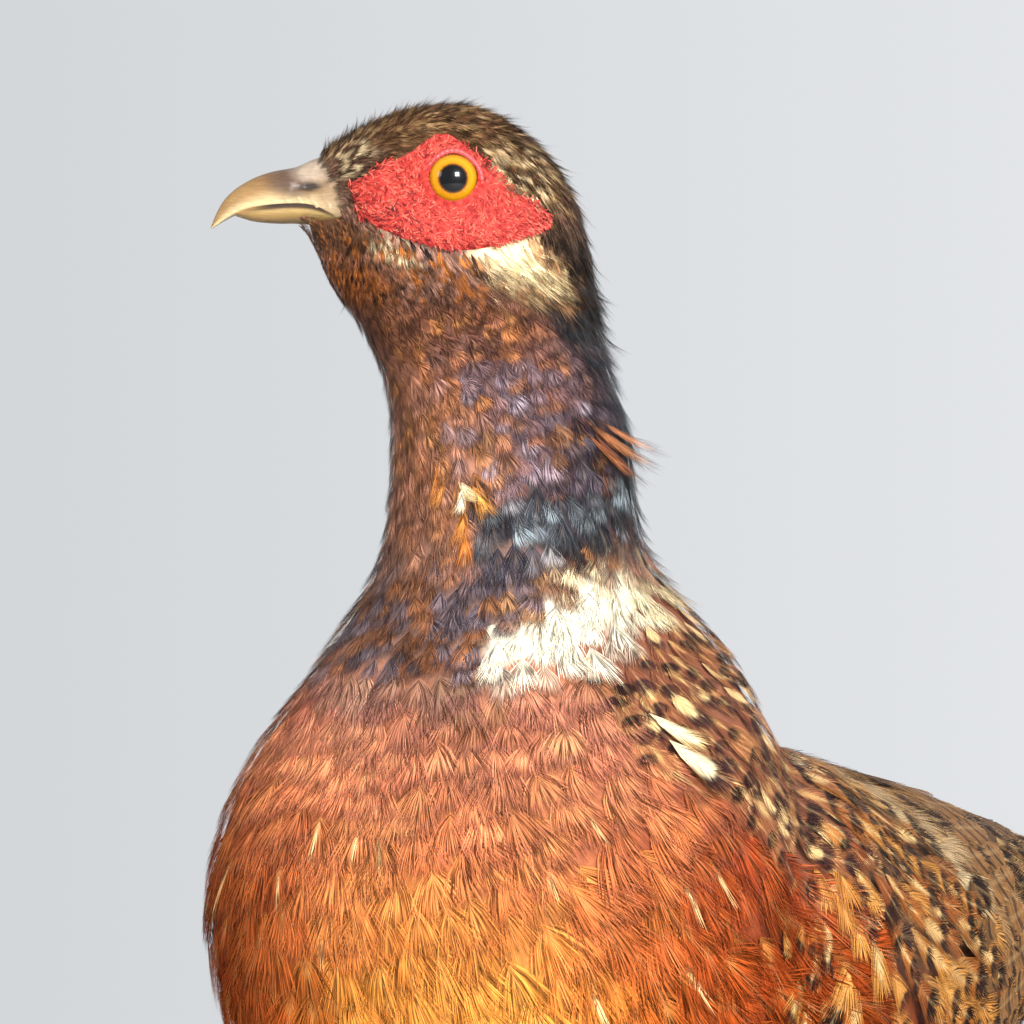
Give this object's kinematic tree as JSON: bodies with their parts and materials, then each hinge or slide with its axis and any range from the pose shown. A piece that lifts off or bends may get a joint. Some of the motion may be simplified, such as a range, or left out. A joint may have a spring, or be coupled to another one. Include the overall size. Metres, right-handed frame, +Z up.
{
  "type": "taxidermy pheasant",
  "caption": "Mounted cock pheasant with a white neck ring, standing on a moulded wooden plinth with its head turned to its right and its long pointed tail held out behind.",
  "frame": {"origin": "middle of the underside of the plinth", "axes": "+Z up, +Y towards the tail, +X to the bird's left, so the bird's body faces -Y"},
  "size_m": [0.18, 0.7516, 0.4155],
  "materials": {
    "feathers_body": "soft body feathers",
    "feathers_wing": "flight feathers and their coverts",
    "feathers_tail": "long barred feathers",
    "wattle_skin": "bare velvety skin",
    "bill_horn": "satin horn",
    "glass_eye": "polished glass over a painted iris",
    "leg_scale": "dry scaled skin",
    "claw_horn": "dark horn",
    "plinth_wood": "varnished hardwood"
  },
  "bodies": {
    "root": {"stand_plinth": "plinth_wood", "tail_coverts": "feathers_body", "trunk": "feathers_body", "neck": "feathers_body", "head": "feathers_body", "bill_upper": "bill_horn", "bill_lower": "bill_horn", "tail_middle": "feathers_tail", "eye_left": "glass_eye", "wattle_left": "wattle_skin", "wing_left": "feathers_wing", "tail_left": "feathers_tail", "thigh_left": "feathers_body", "shank_left": "leg_scale", "foot_left": "leg_scale", "spur_left": "claw_horn", "claw_inner_left": "claw_horn", "claw_middle_left": "claw_horn", "claw_outer_left": "claw_horn", "claw_hind_left": "claw_horn", "eye_right": "glass_eye", "wattle_right": "wattle_skin", "wing_right": "feathers_wing", "tail_right": "feathers_tail", "thigh_right": "feathers_body", "shank_right": "leg_scale", "foot_right": "leg_scale", "spur_right": "claw_horn", "claw_inner_right": "claw_horn", "claw_middle_right": "claw_horn", "claw_outer_right": "claw_horn", "claw_hind_right": "claw_horn"}
  },
  "joints": []
}
